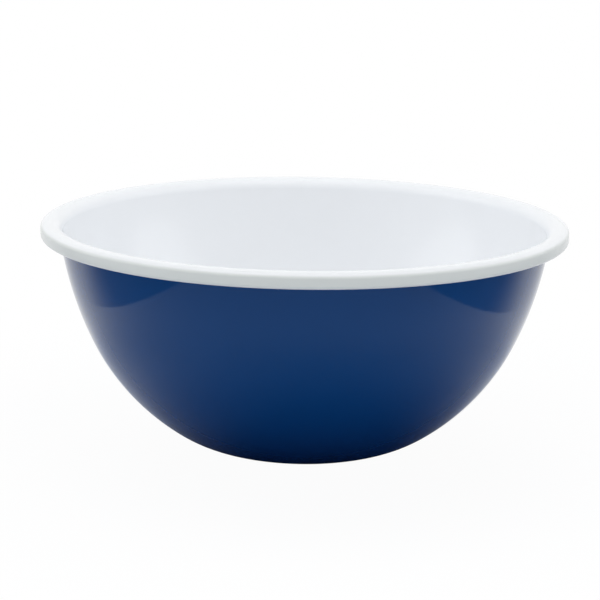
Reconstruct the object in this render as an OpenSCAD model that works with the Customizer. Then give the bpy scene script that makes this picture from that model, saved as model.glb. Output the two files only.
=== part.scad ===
// Deep enamelled steel bowl with a rolled rim.
// The bowl is a solid of revolution. One path, the middle of the steel sheet, runs from the centre of
// the base up the wall and round the rolled rim. The steel and every coat of enamel on it is the band
// between two offsets from that path, over the stretch of the path that the layer covers.
// The bowl stands on z = 0 with its axis on z. All lengths are in millimetres.

/* [Bowl] */
// Diameter over the rolled rim
rim_d = 260; // [235:1:290]
// Height from the table to the top of the rim
height = 114; // [98:1:130]
// Diameter of the flat base, where the corner starts to rise
base_d = 64; // [50:1:76]
// Radius of the corner between base and wall
corner_r = 60; // [48:1:70]
// Slope of the wall where the corner ends, in degrees
corner_slope = 33.5; // [29:0.5:38]
// Slope of the wall where its lower curve ends, in degrees
lower_slope = 65.5; // [60:0.5:70]
// Slope of the wall where it reaches the rim, in degrees
rim_slope = 82.5; // [79:0.5:86]

/* [Rolled rim] */
// Height of the rolled rim over its enamel
rim_h = 7.6; // [7:0.1:9.4]
// Radius at which the wall turns outward and over into the lip
lip_r = 5.3; // [4.8:0.1:6.2]
// Slope at which the lip falls away on the outside and the shoulder starts, in degrees
lip_slope = 40; // [30:1:48]
// Radius of the shoulder between the lip and the upright face of the rim
shoulder_r = 1.2; // [0.9:0.1:1.5]
// Radius of the turn under the upright face
turn_r = 0.9; // [0.7:0.1:1.4]
// Slope of the wall where the underside of the rim closes on it, in degrees
seal_slope = 74; // [70:1:78]
// Slit between the edge of the sheet and the wall, filled with rim enamel
edge_gap = 0.4; // [0.25:0.05:0.8]

/* [Base] */
// Width of the flat ring that the bowl stands on
foot_w = 6; // [3:0.5:10]
// How far the middle of the base is raised inside that ring
dish_h = 1.2; // [0.6:0.1:1.8]
// Slope of the step from the ring up to the middle of the base, in degrees
dish_slope = 12; // [9:0.5:18]

/* [Steel and enamel] */
// Thickness of the steel sheet
steel_t = 0.7; // [0.5:0.05:1.2]
// Thickness of the dark ground coat on each side
ground_t = 0.15; // [0.1:0.01:0.2]
// Thickness of the coloured cover coat on each side
cover_t = 0.25; // [0.15:0.01:0.4]

/* [Smoothness] */
// Straight steps along each long curve of the wall
wall_steps = 10; // [6:1:20]
// Straight steps along each small curve of the base and the rim
small_steps = 4; // [3:1:10]
// Straight steps along the lip and round the turn under the rim
turn_steps = 8; // [5:1:16]

/* [Hidden] */
$fn = 240;

// Offsets of the layers from the middle of the sheet. The outside of the bowl is positive.
steel_face = steel_t / 2;
ground_face = steel_face + ground_t;
cover_face = ground_face + cover_t;

// The rim hangs from the top and the outside of the bowl. The lip turns about one centre, and the turn
// under the upright face about another.
lip_centre = [
    rim_d / 2 - cover_face - shoulder_r - (lip_r - shoulder_r) * sin(lip_slope),
    height - cover_face - lip_r
];
turn_face_r = turn_r + cover_face;
turn_centre = [rim_d / 2 - turn_face_r, height - rim_h + turn_face_r];
wall_top = lip_centre + lip_r * [-sin(rim_slope), cos(rim_slope)];

// The coated underside of the rim is the straight line that touches the turn and closes on the blue face
// below the lip. The sheet itself stops short of that face by the slit.
seal_point = lip_centre + (lip_r - cover_face) * [-sin(seal_slope), cos(seal_slope)];
under = turn_centre - seal_point;
under_slope = asin(turn_face_r / norm(under)) - atan2(under.y, under.x);
under_run = sqrt(pow(norm(under), 2) - pow(turn_face_r, 2)) - edge_gap;
upright = 90;
inward = 180;

// The lower and upper curves of the wall share out the rise and the reach left between the corner and
// the lip. Two radii answer two sums, so they are the solution of a pair of linear equations.
base_r = base_d / 2;
corner_end = [base_r + corner_r * sin(corner_slope), cover_face + corner_r * (1 - cos(corner_slope))];
wall_span = wall_top - corner_end;
lower_unit = [sin(lower_slope) - sin(corner_slope), cos(corner_slope) - cos(lower_slope)];
upper_unit = [sin(rim_slope) - sin(lower_slope), cos(lower_slope) - cos(rim_slope)];
unit_area = lower_unit.x * upper_unit.y - lower_unit.y * upper_unit.x;
lower_r = (wall_span.x * upper_unit.y - wall_span.y * upper_unit.x) / unit_area;
upper_r = (lower_unit.x * wall_span.y - lower_unit.y * wall_span.x) / unit_area;

// The dished base: two equal curves make the step between the foot ring and the raised middle.
step_r = dish_h / 2 / (1 - cos(dish_slope));
dish_r = base_r - foot_w - 2 * step_r * sin(dish_slope);

// A path point is [radius, height, slope]. A curve starts after the point it follows and bends, at
// radius r, to the slope given: inward and up as the slope grows, outward and over as it falls.
function last(points) = points[len(points) - 1];
function curve(from, r, slope, steps) =
    let (bend_r = slope > from.z ? r : -r)
    [for (i = [1 : steps])
        let (a = from.z + (slope - from.z) * i / steps)
        [from.x + bend_r * (sin(a) - sin(from.z)), from.y + bend_r * (cos(from.z) - cos(a)), a]];

// The path, stretch by stretch, from the axis to the edge of the sheet.
dish = [[0, cover_face + dish_h, 0], [dish_r, cover_face + dish_h, 0]];
step_down = curve(last(dish), step_r, -dish_slope, small_steps);
step_flat = curve(last(step_down), step_r, 0, small_steps);
foot = [[base_r, cover_face, 0]];
corner = curve(last(foot), corner_r, corner_slope, wall_steps);
lower_wall = curve(last(corner), lower_r, lower_slope, wall_steps);
upper_wall = curve(last(lower_wall), upper_r, rim_slope, wall_steps);
lip_rise = curve(last(upper_wall), lip_r, seal_slope, small_steps);
lip_inner = curve(last(lip_rise), lip_r, 0, turn_steps);
lip_outer = curve(last(lip_inner), lip_r, -lip_slope, small_steps);
shoulder = curve(last(lip_outer), shoulder_r, -upright, small_steps);
rim_face = [[last(shoulder).x, turn_centre.y, -upright]];
turn = curve(last(rim_face), turn_r, -inward - under_slope, turn_steps);
underside = [last(turn) + under_run * [-cos(under_slope), sin(under_slope), 0]];

bowl_path = concat(dish, step_down, step_flat, foot, corner, lower_wall, upper_wall);
outside_path = concat(bowl_path, lip_rise);
rolled_path = concat(lip_inner, lip_outer, shoulder, rim_face, turn, underside);
rim_path = concat([last(upper_wall)], lip_rise, rolled_path);
sheet_path = concat(outside_path, rolled_path);

// A path moved sideways, and the same points in the other order.
function offset_point(p, by) = [p.x + by * sin(p.z), p.y - by * cos(p.z)];
function offset_path(path, by) = [for (p = path) offset_point(p, by)];
function reversed(points) = [for (i = [len(points) - 1 : -1 : 0]) points[i]];

// A layer that follows a path between two offsets, turned about the axis of the bowl.
module layer(path, near, far) {
    rotate_extrude()
        polygon(concat(offset_path(path, near), reversed(offset_path(path, far))));
}

// Deep-drawn sheet with its edge rolled outward into a hollow rim.
module steel_bowl() {
    color("#8b9096")
        layer(sheet_path, -steel_face, steel_face);
}

// Dark bonding coat on the inside, carried over the rim to the edge of the sheet.
module inside_ground_coat() {
    color("#23262e")
        layer(sheet_path, -ground_face, -steel_face);
}

// Dark bonding coat on the outside, up to where the rim closes on the wall.
module outside_ground_coat() {
    color("#23262e")
        layer(outside_path, steel_face, ground_face);
}

// White cover coat on the inside of the bowl, up to the lip.
module white_lining() {
    color("#eef0f2")
        layer(bowl_path, -cover_face, -ground_face);
}

// White edging run over the lip, down the upright face and under it. Its tail closes the slit under the
// rim: it covers the raw edge of the sheet and the top edge of the outside coats.
module white_rim() {
    seal_start = lip_rise[small_steps - 2];
    seal_end = last(lip_rise);
    seal = [
        offset_point(seal_start, cover_face),
        offset_point(seal_end, cover_face),
        offset_point(seal_end, ground_face),
        offset_point(seal_end, steel_face),
        offset_point(last(underside), steel_face),
        offset_point(last(underside), -steel_face)
    ];
    color("#f3f4f3")
        rotate_extrude()
            polygon(concat(
                offset_path(rim_path, -cover_face),
                seal,
                reversed(offset_path(rim_path, -ground_face))
            ));
}

// Blue cover coat on the outside, under the base and up to where the rim closes on the wall.
module blue_coat() {
    color("#12305f")
        layer(outside_path, ground_face, cover_face);
}

steel_bowl();
inside_ground_coat();
outside_ground_coat();
white_lining();
white_rim();
blue_coat();
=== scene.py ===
# %% [markdown]
# # An enamel bowl, from press tool to kiln
#
# This lesson dresses a finished engineering model of an enamelled steel bowl. The model already holds the
# true sizes: a drawn steel bowl, two ground coats and three cover coats of enamel. Here we turn the three
# coats that anyone sees into smooth, glossy pieces, light them like a catalogue picture and set up the
# camera.

# %% Load the engineering model
import math

import bmesh
import bpy
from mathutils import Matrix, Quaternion, Vector


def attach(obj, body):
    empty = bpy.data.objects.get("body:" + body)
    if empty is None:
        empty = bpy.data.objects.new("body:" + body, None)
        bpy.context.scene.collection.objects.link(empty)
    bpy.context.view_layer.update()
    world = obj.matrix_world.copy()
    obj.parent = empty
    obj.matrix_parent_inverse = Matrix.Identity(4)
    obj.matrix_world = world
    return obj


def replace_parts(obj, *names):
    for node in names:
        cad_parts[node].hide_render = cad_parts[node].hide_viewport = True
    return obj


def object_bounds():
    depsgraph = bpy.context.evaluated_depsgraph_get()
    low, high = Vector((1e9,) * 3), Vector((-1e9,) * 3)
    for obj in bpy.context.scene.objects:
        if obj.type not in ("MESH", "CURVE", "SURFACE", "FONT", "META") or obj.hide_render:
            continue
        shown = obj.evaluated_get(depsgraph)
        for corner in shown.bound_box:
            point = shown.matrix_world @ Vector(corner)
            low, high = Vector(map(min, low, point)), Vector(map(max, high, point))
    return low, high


mm = 0.001
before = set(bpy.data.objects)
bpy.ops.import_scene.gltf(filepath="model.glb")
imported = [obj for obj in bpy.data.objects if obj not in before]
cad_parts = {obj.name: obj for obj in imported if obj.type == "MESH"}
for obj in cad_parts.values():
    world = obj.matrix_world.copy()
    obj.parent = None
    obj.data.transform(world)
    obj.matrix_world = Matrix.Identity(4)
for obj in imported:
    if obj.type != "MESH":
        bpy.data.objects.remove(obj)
model_low, model_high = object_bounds()
rim_d = model_high.x - model_low.x
height = model_high.z
print(f"bowl {rim_d / mm:.1f} mm across and {height / mm:.1f} mm high")

# %% [markdown]
# ## The section of the bowl
#
# A bowl is drawn by its section: half a slice through the middle. A press-tool maker draws that slice with
# straight lines and arcs, so we do the same. Every point carries its radius, its height and the slope of
# the sheet there, because with the slope we can step sideways and find the face of each coat. One could
# also trace a spline by hand, but arcs give the same curve as the tool and cost only a few numbers.

# %% Sizes of the section, in metres and radians
base_r = 32 * mm
corner_r = 60 * mm
corner_slope = math.radians(33.5)
lower_slope = math.radians(65.5)
rim_slope = math.radians(82.5)
rim_h = 7.6 * mm
lip_r = 5.3 * mm
lip_slope = math.radians(40)
shoulder_r = 1.2 * mm
turn_r = 0.9 * mm
seal_slope = math.radians(74)
edge_gap = 0.4 * mm
foot_w = 6 * mm
dish_h = 1.2 * mm
dish_slope = math.radians(12)
steel_face = 0.35 * mm
ground_face = 0.50 * mm
cover_face = 0.75 * mm
print(f"enamel reaches {cover_face / mm:.2f} mm to each side of the middle of the sheet")


# %% Helpers that bend and shift a path
def curve(start, radius, slope, steps):
    """Points after start, bending at a radius until the sheet has the slope asked for."""
    r, z, a0 = start
    bend = radius if slope > a0 else -radius
    points = []
    for i in range(1, steps + 1):
        a = a0 + (slope - a0) * i / steps
        points.append((r + bend * (math.sin(a) - math.sin(a0)), z + bend * (math.cos(a0) - math.cos(a)), a))
    return points


def face(path, offset):
    """The path moved sideways: positive is the outside of the bowl, negative the inside."""
    return [(r + offset * math.sin(a), z - offset * math.cos(a)) for r, z, a in path]


# %% [markdown]
# ## From the rim down, then from the base up
#
# The rolled rim hangs from the top and the outside of the bowl, so it is placed first: the lip, a tight
# shoulder, an upright face, a turn and an underside that runs back up and closes on the wall. The base and
# the corner are placed next. Two arcs then have to close the gap between corner and lip. They could be fitted
# by eye, but two radii answer two sums, one for the rise and one for the reach, so we solve for them.

# %% The rolled rim
lip_out = Vector((math.sin(lip_slope), math.cos(lip_slope)))
shoulder_centre = Vector((
    rim_d / 2 - cover_face - shoulder_r,
    height - cover_face - lip_r * (1 - lip_out.y) - shoulder_r * lip_out.y))
lip_centre = shoulder_centre - (lip_r - shoulder_r) * lip_out
wall_top = lip_centre + lip_r * Vector((-math.sin(rim_slope), math.cos(rim_slope)))
turn_face_r = turn_r + cover_face
turn_centre = Vector((rim_d / 2 - turn_face_r, height - rim_h + turn_face_r))
seal_point = lip_centre + (lip_r - cover_face) * Vector((-math.sin(seal_slope), math.cos(seal_slope)))
under = turn_centre - seal_point
under_slope = math.asin(turn_face_r / under.length) - math.atan2(under.y, under.x)
under_run = math.sqrt(under.length**2 - turn_face_r**2) - edge_gap
print(f"the underside of the rim rises at {math.degrees(under_slope):.0f} degrees")

# %% The two arcs of the wall
corner_end = Vector((
    base_r + corner_r * math.sin(corner_slope),
    cover_face + corner_r * (1 - math.cos(corner_slope))))
span = wall_top - corner_end
lower_unit = Vector((
    math.sin(lower_slope) - math.sin(corner_slope),
    math.cos(corner_slope) - math.cos(lower_slope)))
upper_unit = Vector((
    math.sin(rim_slope) - math.sin(lower_slope),
    math.cos(lower_slope) - math.cos(rim_slope)))
lower_r = span.cross(upper_unit) / lower_unit.cross(upper_unit)
upper_r = lower_unit.cross(span) / lower_unit.cross(upper_unit)
print(f"wall arcs of {lower_r / mm:.0f} mm and {upper_r / mm:.0f} mm")

# %% The path from the middle of the base to the top of the wall
dish_steps = 6
corner_steps = 16
wall_steps = 24
step_r = dish_h / 2 / (1 - math.cos(dish_slope))
dish_r = base_r - foot_w - 2 * step_r * math.sin(dish_slope)
dish = [(0.0, cover_face + dish_h, 0.0), (dish_r, cover_face + dish_h, 0.0)]
step_down = curve(dish[-1], step_r, -dish_slope, dish_steps)
step_flat = curve(step_down[-1], step_r, 0.0, dish_steps)
foot = [(base_r, cover_face, 0.0)]
base_path = dish + step_down + step_flat + foot
corner = curve(foot[-1], corner_r, corner_slope, corner_steps)
lower_wall = curve(corner[-1], lower_r, lower_slope, wall_steps)
upper_wall = curve(lower_wall[-1], upper_r, rim_slope, wall_steps)
bowl_path = base_path + corner + lower_wall + upper_wall
print(f"{len(bowl_path)} points from the middle of the base to the lip")

# %% The path over the lip and round the rim
upright = math.pi / 2
inward = math.pi
rise_steps = 8
lip_steps = 32
shoulder_steps = 12
turn_steps = 20
lip_outside = curve(upper_wall[-1], lip_r, seal_slope, rise_steps)
lip = curve(lip_outside[-1], lip_r, -lip_slope, lip_steps)
shoulder = curve(lip[-1], shoulder_r, -upright, shoulder_steps)
rim_face = [(shoulder[-1][0], turn_centre.y, -upright)]
turn = curve(rim_face[-1], turn_r, -inward - under_slope, turn_steps)
edge_r = turn[-1][0] - under_run * math.cos(under_slope)
edge_z = turn[-1][1] + under_run * math.sin(under_slope)
underside = [(edge_r, edge_z, turn[-1][2])]
outside_path = bowl_path + lip_outside
rim_path = upper_wall[-1:] + lip_outside + lip + shoulder + rim_face + turn + underside
print(f"{len(outside_path)} points up the outside, {len(rim_path)} round the rim")

# %% [markdown]
# ## Turning a section into a solid
#
# A potter's wheel or a metal spinner's lathe turns a section into a round body, and so does this helper. It
# copies the section round the axis and joins neighbours with four-sided faces. Blender's Screw modifier does
# the same job, but building the rings ourselves lets a small drift be added ring by ring: fired enamel flows,
# so no coat is as true as the steel under it.

# %% The drift of a fired coat
# Each wave has its share, its count round the bowl, its start in radians and its twist per metre of height.
waves = [(1.0, 2, 0.6, 0), (0.6, 3, 2.1, 9), (0.4, 7, 0.0, -20)]
wave_total = sum(wave[0] for wave in waves)


def drift(angle, z, depth):
    """A gentle unevenness: a few broad waves round the bowl that change with height."""
    around = sum(share * math.sin(count * angle + start + twist * z) for share, count, start, twist in waves)
    return depth * around / wave_total


# %% A lathe for coats
turns = 288
on_axis_r = 1e-9
sharp_edge = math.radians(35)


def ring_of(bm, section, angle, on_axis, free, depth):
    """The section's points at one angle. Points on the axis are shared by all rings."""
    ring = []
    for i, (r, z) in enumerate(section):
        if i in on_axis:
            ring.append(on_axis[i])
            continue
        reach = r + (drift(angle, z, depth) if i in free else 0)
        ring.append(bm.verts.new((reach * math.cos(angle), reach * math.sin(angle), z)))
    return ring


def lathe(name, section, depth=0.0, loose=()):
    """Spins a closed section about the axis. The points listed in loose drift by up to depth."""
    bm = bmesh.new()
    free = set(loose)
    on_axis = {i: bm.verts.new((0, 0, z)) for i, (r, z) in enumerate(section) if r < on_axis_r}
    angles = [2 * math.pi * k / turns for k in range(turns)]
    rings = [ring_of(bm, section, angle, on_axis, free, depth) for angle in angles]
    for ring, after in zip(rings, rings[1:] + rings[:1]):
        for i in range(len(section)):
            j = (i + 1) % len(section)
            corners = list(dict.fromkeys((ring[i], after[i], after[j], ring[j])))
            if len(corners) > 2:
                bm.faces.new(corners)
    bmesh.ops.recalc_face_normals(bm, faces=bm.faces)
    mesh = bpy.data.meshes.new(name)
    bm.to_mesh(mesh)
    bm.free()
    mesh.shade_smooth()
    mesh.set_sharp_from_angle(angle=sharp_edge)
    piece = bpy.data.objects.new(name, mesh)
    bpy.context.scene.collection.objects.link(piece)
    print(f"{name}: {len(mesh.vertices)} points, {len(mesh.polygons)} faces")
    return piece


# %% [markdown]
# ## Enamel as a material
#
# Vitreous enamel is coloured glass melted onto steel. It has an even body colour, a hard gloss and a very
# faint orange-peel ripple where the glass flowed. In the Principled shader one noise texture shifts the
# colour and the gloss by a little, and a finer one feeds a Bump node for the ripple. The Specular Tint dims
# the mirror where it is seen face-on and leaves it bright at a glancing angle. A painted image could do all
# this too, but noise in the bowl's own coordinates has no seams and no edges.

# %% An enamel helper
glass_ior = 1.5
cloud_scale = 28
cloud_detail = 4
peel_scale = 420
peel_detail = 2
peel_depth = 0.2 * mm


def enamel(name, pale, deep, gloss, facing, ripple):
    """A glossy fired coat. Its colour wanders from deep to pale, and facing dims the mirror seen face-on."""
    material = bpy.data.materials.new(name)
    material.use_nodes = True
    nodes, links = material.node_tree.nodes, material.node_tree.links
    shader = nodes["Principled BSDF"]
    shader.inputs["IOR"].default_value = glass_ior
    shader.inputs["Specular Tint"].default_value = (facing, facing, facing, 1)
    place = nodes.new("ShaderNodeTexCoord")
    clouds = nodes.new("ShaderNodeTexNoise")
    clouds.inputs["Scale"].default_value = cloud_scale
    clouds.inputs["Detail"].default_value = cloud_detail
    tint = nodes.new("ShaderNodeMix")
    tint.data_type = "RGBA"
    tint.inputs["A"].default_value = (*deep, 1)
    tint.inputs["B"].default_value = (*pale, 1)
    links.new(place.outputs["Object"], clouds.inputs["Vector"])
    links.new(clouds.outputs["Fac"], tint.inputs["Factor"])
    links.new(tint.outputs["Result"], shader.inputs["Base Color"])
    polish = nodes.new("ShaderNodeMapRange")
    polish.inputs["To Min"].default_value = gloss[0]
    polish.inputs["To Max"].default_value = gloss[1]
    links.new(clouds.outputs["Fac"], polish.inputs["Value"])
    links.new(polish.outputs["Result"], shader.inputs["Roughness"])
    peel = nodes.new("ShaderNodeTexNoise")
    peel.inputs["Scale"].default_value = peel_scale
    peel.inputs["Detail"].default_value = peel_detail
    bump = nodes.new("ShaderNodeBump")
    bump.inputs["Strength"].default_value = ripple
    bump.inputs["Distance"].default_value = peel_depth
    links.new(place.outputs["Object"], peel.inputs["Vector"])
    links.new(peel.outputs["Fac"], bump.inputs["Height"])
    links.new(bump.outputs["Normal"], shader.inputs["Normal"])
    print(f"{name}: enamel ready")
    return material


# %% The blue and the white cover coats
cover_ripple = 0.05
blue_pale = (0.0024, 0.0492, 0.182)
blue_deep = (0.0019, 0.0440, 0.164)
blue_gloss = (0.05, 0.09)
blue_facing = 0.28
white_pale = (0.878, 0.898, 0.924)
white_deep = (0.864, 0.884, 0.911)
white_gloss = (0.10, 0.16)
white_facing = 0.6
blue_enamel = enamel("blue_enamel", blue_pale, blue_deep, blue_gloss, blue_facing, cover_ripple)
white_enamel = enamel("white_enamel", white_pale, white_deep, white_gloss, white_facing, cover_ripple)

# %% [markdown]
# ## The edging of the rim
#
# The rim is edged in a coat of its own. It starts as white as the lining; then painted shade dulls the crest
# of the lip a little and greys the upright face, standing in for how the light falls on them.
# The distance from the axis tells these zones apart, so a small chain of nodes measures it and blends the
# colours. Painting the points of the mesh would also work, but then the blend could only be as fine as the
# rings.


# %% A helper that paints shade on a coat outward
def paint_shade_outward(material, colour, inner_r, outer_r):
    """Paints shade on a coat: it turns towards a darker colour from one radius of the bowl to a larger one.
    """
    nodes, links = material.node_tree.nodes, material.node_tree.links
    shader = nodes["Principled BSDF"]
    body = shader.inputs["Base Color"].links[0].from_socket
    place = nodes.new("ShaderNodeTexCoord")
    flat = nodes.new("ShaderNodeVectorMath")
    flat.operation = "MULTIPLY"
    flat.inputs[1].default_value = (1, 1, 0)
    reach = nodes.new("ShaderNodeVectorMath")
    reach.operation = "LENGTH"
    share = nodes.new("ShaderNodeMapRange")
    share.interpolation_type = "SMOOTHSTEP"
    share.inputs["From Min"].default_value = inner_r
    share.inputs["From Max"].default_value = outer_r
    blend = nodes.new("ShaderNodeMix")
    blend.data_type = "RGBA"
    blend.inputs["B"].default_value = (*colour, 1)
    links.new(place.outputs["Object"], flat.inputs[0])
    links.new(flat.outputs["Vector"], reach.inputs[0])
    links.new(reach.outputs["Value"], share.inputs["Value"])
    links.new(share.outputs["Result"], blend.inputs["Factor"])
    links.new(body, blend.inputs["A"])
    links.new(blend.outputs["Result"], shader.inputs["Base Color"])
    print(f"{material.name}: turns from {inner_r / mm:.1f} to {outer_r / mm:.1f} mm")


# %% The rim's enamel
# Painted shade: the crest of the lip is dulled and the upright face greyed, in place of the light falling on
# them.
lip_crest_painted_shade = (0.836, 0.857, 0.880)
rim_face_painted_shade = (0.700, 0.734, 0.716)
rim_gloss = (0.18, 0.24)
rim_facing = 0.3
rim_enamel = enamel("rim_enamel", white_pale, white_deep, rim_gloss, rim_facing, cover_ripple)
paint_shade_outward(rim_enamel, lip_crest_painted_shade, wall_top.x - cover_face, lip_centre.x)
paint_shade_outward(rim_enamel, rim_face_painted_shade, rim_d / 2 - shoulder_r, rim_d / 2)

# %% [markdown]
# ## The blue coat
#
# The outside of the bowl, its base included, is sprayed with blue enamel. The piece is the thin layer
# between the ground coat and the air, so its section is the path at two offsets, out along one and back
# along the other. A Solidify modifier could also give it its thickness, but with two offsets only the outer
# face drifts, and the inner one lies true on the coat below.

# %% Make the blue coat
flow = 0.06 * mm
still = 8
standing = len(base_path)
blue_out = face(outside_path, cover_face)
blue_back = face(outside_path, ground_face)[::-1]
blue_loose = range(standing + still, len(blue_out) - still)
blue_coat = lathe("blue_coat_glaze", blue_out + blue_back, flow, blue_loose)
blue_coat.data.materials.append(blue_enamel)
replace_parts(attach(blue_coat, "root"), "blue_coat")

# %% [markdown]
# ## The white lining
#
# White slip is poured into the bowl, swirled round and drained, then fired. It covers the inside as far as
# the lip, where the edging takes over. It could be one piece with the edging, as both are white, but the two
# are put on and fired apart, so each has a mesh and a finish of its own.

# %% Make the lining
lining_in = face(bowl_path, -cover_face)
lining_back = face(bowl_path, -ground_face)[::-1]
lining_loose = range(standing + still, len(lining_in) - still)
lining = lathe("white_lining_glaze", lining_in + lining_back, flow, lining_loose)
lining.data.materials.append(white_enamel)
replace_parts(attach(lining, "root"), "white_lining")

# %% [markdown]
# ## The white rim
#
# The rolled rim is the hard part of such a bowl. The edge of the sheet turns outward, over and back under
# until it nearly meets the wall, which leaves a smooth hollow roll with no raw edge to cut a hand. After the
# blue is sprayed, the rim is wiped clean and edged in white, and the enamel draws into the slit below it. A
# torus would be quicker, but its round section lacks the upright face. So the section goes once over the
# outside of the rim, closes the slit and comes back along the ground coat.

# %% Make the rim
seal_points = 3
seal = face(lip_outside[-seal_points:], cover_face)
seal += face(lip_outside[-1:], steel_face)
seal += face(underside, steel_face)
rim = lathe("white_rim_glaze", face(rim_path, -cover_face) + seal + face(rim_path, -ground_face)[::-1])
rim.data.materials.append(rim_enamel)
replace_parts(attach(rim, "root"), "white_rim")

# %% [markdown]
# ## What lies under the glaze
#
# The steel and the two ground coats stay as the engineering model has them. Nothing of them shows on a sound
# bowl, so they could keep the model's plain colours. Each still gets a finish of its own, so that a cut-away
# view looks right.

# %% A finish for the steel
steel_grey = (0.55, 0.56, 0.58)
mark_scale = 160
steel_gloss = (0.3, 0.5)


def bare_steel():
    """Drawn sheet: grey metal whose gloss varies in fine spots."""
    material = bpy.data.materials.new("drawn_steel")
    material.use_nodes = True
    nodes, links = material.node_tree.nodes, material.node_tree.links
    shader = nodes["Principled BSDF"]
    shader.inputs["Base Color"].default_value = (*steel_grey, 1)
    shader.inputs["Metallic"].default_value = 1
    place = nodes.new("ShaderNodeTexCoord")
    marks = nodes.new("ShaderNodeTexNoise")
    marks.inputs["Scale"].default_value = mark_scale
    rough = nodes.new("ShaderNodeMapRange")
    rough.inputs["To Min"].default_value = steel_gloss[0]
    rough.inputs["To Max"].default_value = steel_gloss[1]
    links.new(place.outputs["Object"], marks.inputs["Vector"])
    links.new(marks.outputs["Fac"], rough.inputs["Value"])
    links.new(rough.outputs["Result"], shader.inputs["Roughness"])
    return material


# %% Dress the steel and the ground coats
ground_pale = (0.022, 0.024, 0.033)
ground_deep = (0.016, 0.018, 0.026)
ground_gloss = (0.2, 0.3)
ground_facing = 0.8
ground_ripple = 0.1
ground_enamel = enamel(
    "ground_enamel", ground_pale, ground_deep, ground_gloss, ground_facing, ground_ripple)
hidden_finish = {
    "steel_bowl": bare_steel(), "inside_ground_coat": ground_enamel, "outside_ground_coat": ground_enamel}
for node, finish in hidden_finish.items():
    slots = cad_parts[node].data.materials
    slots.clear()
    slots.append(finish)
    print(f"{node}: {finish.name}")

# %% [markdown]
# ## The table
#
# A glossy bowl is lit as much by what it mirrors as by its lamps. Catalogue pictures stand it on a wide
# pale table, and the belly of the bowl shows that table. The table here is pale to the lamps and plain white
# to the camera and in mirrors, through the Light Path node. Close to the bowl, mirrors see the table itself,
# with a shade painted on it that is deeper than these soft lamps would cast, so the foot stays dark. Brighter
# lamps could whiten the table too, but they would bleach the bowl.

# %% Helpers for the set
matt_roughness = 0.9


def stage_sheet(name, x0, x1, y0, y1, z):
    """A flat rectangle of the set."""
    mesh = bpy.data.meshes.new(name)
    corners = [(x0, y0, z), (x1, y0, z), (x1, y1, z), (x0, y1, z)]
    mesh.from_pydata(corners, [], [(0, 1, 2, 3)])
    sheet = bpy.data.objects.new(name, mesh)
    bpy.context.scene.collection.objects.link(sheet)
    print(f"{name}: {abs(x1 - x0):.2f} by {abs(y1 - y0):.2f} m")
    return sheet


def matt_paint(name):
    """A paint without any gloss."""
    material = bpy.data.materials.new(name)
    material.use_nodes = True
    matt = material.node_tree.nodes["Principled BSDF"]
    matt.inputs["Roughness"].default_value = matt_roughness
    matt.inputs["Specular IOR Level"].default_value = 0.0
    return material


def distance_from(tree, centre):
    """How far a spot of the sheet lies from a centre."""
    spot = tree.nodes.new("ShaderNodeTexCoord")
    step = tree.nodes.new("ShaderNodeVectorMath")
    step.operation = "DISTANCE"
    step.inputs[1].default_value = centre
    tree.links.new(spot.outputs["Object"], step.inputs[0])
    return step.outputs["Value"]


def fade(tree, distance, radii, start, end):
    """A soft change from start to end between two radii."""
    step = tree.nodes.new("ShaderNodeMapRange")
    step.interpolation_type = "SMOOTHSTEP"
    step.inputs["From Min"].default_value = radii[0]
    step.inputs["From Max"].default_value = radii[1]
    step.inputs["To Min"].default_value = start
    step.inputs["To Max"].default_value = end
    tree.links.new(distance, step.inputs["Value"])
    return step.outputs["Result"]


def combine(tree, kind, first, second):
    """One sum on two values, such as their product or the larger of them."""
    step = tree.nodes.new("ShaderNodeMath")
    step.operation = kind
    tree.links.new(first, step.inputs[0])
    tree.links.new(second, step.inputs[1])
    return step.outputs["Value"]


# %% Helpers that show a surface white
def ray_kinds(tree):
    """Two shares that tell whether the camera looks at the surface, or a mirror or glass does."""
    ray = tree.nodes.new("ShaderNodeLightPath").outputs
    return ray["Is Camera Ray"], combine(tree, "MAXIMUM", ray["Is Glossy Ray"], ray["Is Transmission Ray"])


def blend_to_white(tree, plain, white, to_camera, to_mirrors, output):
    """Puts the white shader in place of the plain one, by the larger of the two shares."""
    blend = tree.nodes.new("ShaderNodeMixShader")
    tree.links.new(combine(tree, "MAXIMUM", to_camera, to_mirrors), blend.inputs["Fac"])
    tree.links.new(plain, blend.inputs[1])
    tree.links.new(white, blend.inputs[2])
    tree.links.new(blend.outputs["Shader"], tree.nodes[output].inputs["Surface"])


def whiten(material, to_camera, to_mirrors):
    """Shows a painted sheet white at a strength of 1."""
    tree = material.node_tree
    glow = tree.nodes.new("ShaderNodeEmission").outputs["Emission"]
    matt = tree.nodes["Principled BSDF"].outputs["BSDF"]
    blend_to_white(tree, matt, glow, to_camera, to_mirrors, "Material Output")


# %% Lay the table
table_half = 6.0
table_colour = (0.86, 0.885, 0.94)
shade_colour = (0.03, 0.07, 0.22)
shade_centre = (0.012, -0.06, 0)
shade_r = (0.03, 0.15)
bowl_centre = (0, 0, 0)
shadow_kept = 0.035
shadow_r = (0.16, 0.34)
white_r = (0.16, 0.23)
table_paint = matt_paint("pale_table")
tree = table_paint.node_tree
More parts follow.
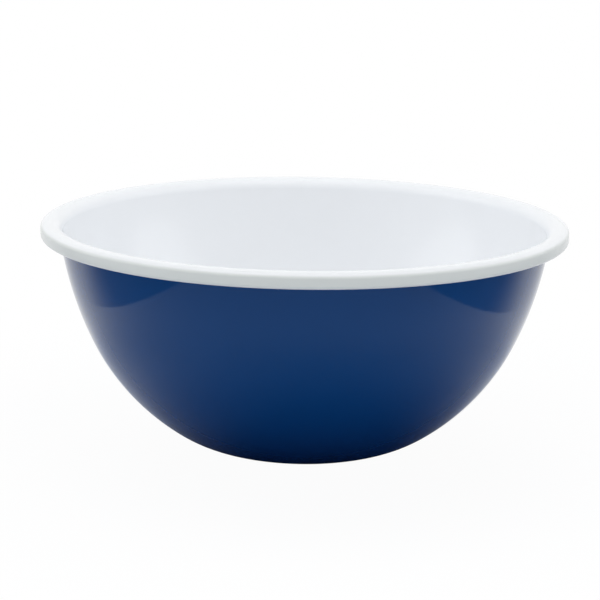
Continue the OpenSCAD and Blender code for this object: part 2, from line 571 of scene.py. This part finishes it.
# Painted shadow: close to the foot the table turns dark blue, tinted with the blue light the bowl throws on
# it.
painted_shadow_mix = tree.nodes.new("ShaderNodeMix")
painted_shadow_mix.data_type = "RGBA"
painted_shadow_mix.inputs["A"].default_value = (*shade_colour, 1)
painted_shadow_mix.inputs["B"].default_value = (*table_colour, 1)
tree.links.new(fade(tree, distance_from(tree, shade_centre), shade_r, 0, 1), painted_shadow_mix.inputs["Factor"])
tree.links.new(painted_shadow_mix.outputs["Result"], tree.nodes["Principled BSDF"].inputs["Base Color"])
camera_ray, mirror_ray = ray_kinds(tree)
from_bowl = distance_from(tree, bowl_centre)
seen = combine(tree, "MULTIPLY", camera_ray, fade(tree, from_bowl, shadow_r, 1 - shadow_kept, 1))
mirrored = combine(tree, "MULTIPLY", mirror_ray, fade(tree, from_bowl, white_r, 0, 1))
whiten(table_paint, seen, mirrored)
table = stage_sheet("table", -table_half, table_half, -table_half, table_half, 0.0)
table.data.materials.append(table_paint)

# %% [markdown]
# ## Two dark cards
#
# A glossy thing that mirrors nothing but white looks dull. Photographers therefore lay dark cards beside it:
# they show as soft dark shapes in the gloss and tell the eye how smooth the glaze is. Painting such shapes on
# the bowl would look wrong from any other side. The cards lie left and right of the bowl, fade to white
# towards the back, and are white to the camera.

# %% Lay the cards
card_near_x = 0.230
card_far_x = 0.6
card_front_y = -0.6
card_back_y = 0.27
card_lift = 0.5 * mm
card_colour = {-1: (0.27, 0.28, 0.34), 1: (0.22, 0.23, 0.29)}
card_centre = (0, 0.6, 0)
card_r = (0.55, 0.69)
for side, colour in card_colour.items():
    card_paint = matt_paint(f"card_paint_{side}")
    tree = card_paint.node_tree
    tree.nodes["Principled BSDF"].inputs["Base Color"].default_value = (*colour, 1)
    camera_ray, mirror_ray = ray_kinds(tree)
    at_back = fade(tree, distance_from(tree, card_centre), card_r, 1, 0)
    whiten(card_paint, camera_ray, combine(tree, "MULTIPLY", mirror_ray, at_back))
    near, far = side * card_near_x, side * card_far_x
    card = stage_sheet(f"card_{side}", near, far, card_front_y, card_back_y, card_lift)
    card.data.materials.append(card_paint)

# %% [markdown]
# ## The room
#
# The room gives the light that comes from everywhere. It is lighter at the horizon than overhead, so the
# upright face of the rim and the wall get their share beside the lamps. A picture of a real studio could
# light the bowl too, but a ramp of two greys has no shapes that would show in the glaze. The camera, mirrors
# and glass see the room plain white, like the table.

# %% A soft room
horizon_grey = (0.80, 0.805, 0.81)
ceiling_grey = (0.36, 0.36, 0.36)
ceiling_from = 0.75
room_light = 1.0
white = (1, 1, 1, 1)
world = bpy.data.worlds.new("soft_room")
bpy.context.scene.world = world
world.use_nodes = True
tree = world.node_tree
look = tree.nodes.new("ShaderNodeTexCoord")
split = tree.nodes.new("ShaderNodeSeparateXYZ")
ramp = tree.nodes.new("ShaderNodeValToRGB")
ramp.color_ramp.elements[0].position = 0.0
ramp.color_ramp.elements[0].color = (*horizon_grey, 1)
ramp.color_ramp.elements[1].position = ceiling_from
ramp.color_ramp.elements[1].color = (*ceiling_grey, 1)
soft_light = tree.nodes["Background"]
soft_light.inputs["Strength"].default_value = room_light
tree.links.new(look.outputs["Generated"], split.inputs["Vector"])
tree.links.new(split.outputs["Z"], ramp.inputs["Fac"])
tree.links.new(ramp.outputs["Color"], soft_light.inputs["Color"])
white_room = tree.nodes.new("ShaderNodeBackground")
white_room.inputs["Color"].default_value = white
camera_ray, mirror_ray = ray_kinds(tree)
blend_to_white(
    tree, soft_light.outputs["Background"], white_room.outputs["Background"], camera_ray, mirror_ray,
    "World Output")
print(f"{world.name}: strength {room_light}")

# %% [markdown]
# ## The lamps
#
# Four wide softboxes light the bowl: a large one overhead and towards the camera, a weak one behind, and
# one on each side. One lamp would be simpler, but it would leave one half of the inside in shade. Wide lamps
# keep the shading gentle, and none of them is bright enough to bleach the white lip.


# %% A softbox helper
def softbox(name, width, depth, energy, place, target):
    """A round or oval soft lamp that faces a point."""
    data = bpy.data.lights.new(name, "AREA")
    data.shape = "ELLIPSE"
    data.size = width
    data.size_y = depth
    data.energy = energy
    lamp = bpy.data.objects.new(name, data)
    lamp.location = place
    lamp.rotation_mode = "QUATERNION"
    lamp.rotation_quaternion = (Vector(target) - Vector(place)).to_track_quat("-Z", "Y")
    lamp.visible_camera = False
    bpy.context.scene.collection.objects.link(lamp)
    print(f"{name}: {energy} W")
    return lamp


# %% Hang the softboxes
over_w = 2.0
over_y = -0.5
over_z = 1.5
over_watts = 11.9
back_w = 2.2
back_depth = 0.8
back_y = 0.65
back_z = 0.55
back_watts = 1.0
side_w = 1.1
side_x = 1.1
side_z = 0.75
left_watts = 3.8
right_watts = 3.4
mouth = (0, 0, height)
softbox("overhead_softbox", over_w, over_w, over_watts, (0, over_y, over_z), (0, over_y, 0))
softbox("back_softbox", back_w, back_depth, back_watts, (0, back_y, back_z), (0, back_y, 0))
softbox("left_softbox", side_w, side_w, left_watts, (-side_x, 0, side_z), mouth)
softbox("right_softbox", side_w, side_w, right_watts, (side_x, 0, side_z), mouth)

# %% [markdown]
# ## The camera
#
# The camera stands about a metre away and a little above the rim, with a long lens, as product pictures do.
# The picture was not quite level, so the camera is rolled by less than a degree. Lens shift could move the
# bowl within the frame, but turning the camera until the middle of the bowl falls on the right pixel does it
# without.

# %% Place the camera
picture_px = 600
focal_px = 2199
bowl_px = (303.8, 330.8)
distance = 1.1
rise = math.radians(13.5)
roll = math.radians(0.81)
sensor_mm = 36
camera_data = bpy.data.cameras.new("camera")
camera_data.sensor_width = sensor_mm
camera_data.lens = focal_px / picture_px * sensor_mm
camera = bpy.data.objects.new("camera", camera_data)
middle = Vector((0, 0, height / 2))
camera.location = middle + distance * Vector((0, -math.cos(rise), math.sin(rise)))
aim = (middle - camera.location).to_track_quat("-Z", "Y")
aim @= Quaternion((0, 1, 0), math.atan((bowl_px[0] - picture_px / 2) / focal_px))
aim @= Quaternion((1, 0, 0), math.atan((bowl_px[1] - picture_px / 2) / focal_px))
aim @= Quaternion((0, 0, 1), roll)
camera.rotation_mode = "QUATERNION"
camera.rotation_quaternion = aim
bpy.context.scene.collection.objects.link(camera)
bpy.context.scene.camera = camera
bpy.context.scene.view_settings.view_transform = "Standard"
print(f"lens {camera_data.lens:.0f} mm")
